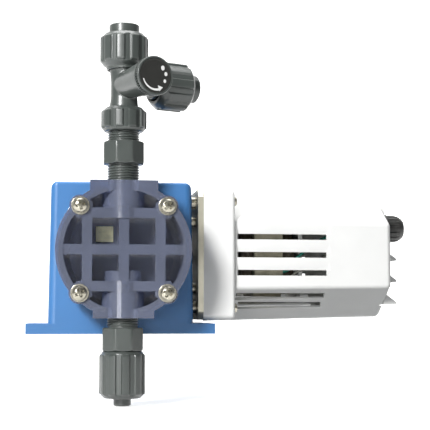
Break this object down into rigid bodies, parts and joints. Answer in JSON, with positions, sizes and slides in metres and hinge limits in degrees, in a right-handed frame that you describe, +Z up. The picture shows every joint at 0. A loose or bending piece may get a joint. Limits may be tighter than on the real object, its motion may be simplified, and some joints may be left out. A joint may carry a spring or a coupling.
{
  "type": "diaphragm metering pump",
  "caption": "Motor-driven diaphragm metering pump: cast gear housing on a foot, ribbed round head with upright valves and a bleed valve, vented motor cover.",
  "frame": {"origin": "centre of the foot's four bolt holes, on the underside of the foot", "axes": "+Z up, -Y towards the pump head (front), +X towards the motor"},
  "size_m": [0.288, 0.1925, 0.2669],
  "materials": {
    "blue_casting": "satin blue enamel on cast aluminium",
    "gasket": "matt black",
    "zinc_steel": "bright zinc",
    "plate_steel": "zinc plated sheet",
    "head_plastic": "smoke violet translucent moulding",
    "grey_pvc": "satin grey PVC",
    "white_plastic": "satin white moulding",
    "black_plastic": "matt black",
    "ceramic": "polished",
    "elastomer": "PTFE faced, off white",
    "shaft_steel": "ground",
    "bronze": "sintered bronze",
    "acetal": "natural acetal",
    "lamination": "oiled laminations",
    "copper": "varnished copper winding",
    "aluminium": "die cast",
    "green_pvc": "green wire cover",
    "pale_pvc": "pale wire cover",
    "paper": "blank beige sticker"
  },
  "bodies": {
    "housing": {"gear_housing": "blue_casting", "rear_cover": "blue_casting", "rear_gasket": "gasket", "rear_cover_screws": "zinc_steel", "pump_head": "head_plastic", "head_washers": "zinc_steel", "head_screws": "zinc_steel", "backing_plate": "plate_steel", "diaphragm": "elastomer", "inspection_label": "paper", "discharge_valve_body": "grey_pvc", "discharge_seat": "elastomer", "suction_valve_body": "grey_pvc", "suction_seat": "elastomer", "discharge_union_nut": "grey_pvc", "discharge_tube_nut": "grey_pvc", "suction_tube_nut": "grey_pvc", "discharge_connector": "grey_pvc", "suction_connector": "grey_pvc", "bleed_valve_body": "grey_pvc", "bleed_port_nut": "grey_pvc", "bleed_port_connector": "grey_pvc", "plunger_guide": "bronze", "return_spring": "shaft_steel", "gear_bushes": "bronze", "gear_plate": "plate_steel", "gear_plate_pillars": "zinc_steel", "gear_plate_screws": "zinc_steel", "motor_plate": "plate_steel", "plate_screws": "zinc_steel", "motor_bolts": "zinc_steel", "spacer_sleeves": "zinc_steel", "cover_screws": "zinc_steel", "motor_stator": "lamination", "motor_coils": "copper", "front_bracket": "aluminium", "rear_bracket": "aluminium", "motor_bearings": "bronze", "motor_cover": "white_plastic", "cord_gland": "black_plastic", "ground_wire": "green_pvc", "supply_leads": "pale_pvc"},
    "rotor": {"rotor_core": "aluminium", "rotor_shaft": "shaft_steel", "motor_pinion": "shaft_steel", "fan": "black_plastic"},
    "idler": {"idler_shaft": "shaft_steel", "idler_wheel": "acetal", "idler_pinion": "shaft_steel"},
    "output": {"output_shaft": "shaft_steel", "output_wheel": "acetal", "cam_bearing": "shaft_steel"},
    "plunger": {"plunger": "shaft_steel"},
    "stop_rod": {"stop_rod": "shaft_steel"},
    "stroke_knob": {"stroke_knob": "black_plastic"},
    "bleed_knob": {"bleed_knob": "grey_pvc", "bleed_knob_disc": "black_plastic"},
    "bleed_spindle": {"bleed_spindle": "grey_pvc"},
    "discharge_ball": {"discharge_ball": "ceramic"},
    "suction_ball": {"suction_ball": "ceramic"}
  },
  "joints": [
    {"name": "motor_spin", "type": "hinge", "parent": "housing", "child": "rotor", "pos_m": [0, 0, 0.0575], "axis": [1, 0, 0], "continuous": true},
    {"name": "idler_spin", "type": "hinge", "parent": "housing", "child": "idler", "pos_m": [0, -0.01047, 0.03861], "axis": [1, 0, 0], "continuous": true},
    {"name": "output_spin", "type": "hinge", "parent": "housing", "child": "output", "pos_m": [0, 0.005, 0.0585], "axis": [1, 0, 0], "continuous": true},
    {"name": "plunger_stroke", "type": "slide", "parent": "housing", "child": "plunger", "axis": [0, -1, 0], "range_m": [0, 0.004], "stiffness_N_per_m": 1500, "deforming": ["return_spring", "diaphragm"]},
    {"name": "stroke_adjust", "type": "hinge", "parent": "housing", "child": "stroke_knob", "pos_m": [0, 0.05, 0.0785], "axis": [0, 1, 0], "range_deg": [0, 300]},
    {"name": "stop_travel", "type": "slide", "parent": "housing", "child": "stop_rod", "axis": [0, -1, 0], "range_m": [0, 0.004]},
    {"name": "bleed_turn", "type": "hinge", "parent": "housing", "child": "bleed_knob", "pos_m": [0.0169, -0.10825, 0.1745], "axis": [0.4226, -0.9063, 0], "range_deg": [0, 180]},
    {"name": "bleed_lift", "type": "slide", "parent": "housing", "child": "bleed_spindle", "axis": [0.4226, -0.9063, 0], "range_m": [0, 0.002]},
    {"name": "discharge_lift", "type": "slide", "parent": "housing", "child": "discharge_ball", "axis": [0, 0, 1], "range_m": [0, 0.002]},
    {"name": "suction_lift", "type": "slide", "parent": "housing", "child": "suction_ball", "axis": [0, 0, 1], "range_m": [0, 0.002]}
  ],
  "couplings": [
    {"joint": "idler_spin", "follows": "motor_spin", "ratio": -0.2},
    {"joint": "output_spin", "follows": "motor_spin", "ratio": 0.04},
    {"joint": "stop_travel", "follows": "stroke_adjust", "m_per_rad": 0.00076},
    {"joint": "bleed_lift", "follows": "bleed_turn", "m_per_rad": 0.0006}
  ]
}
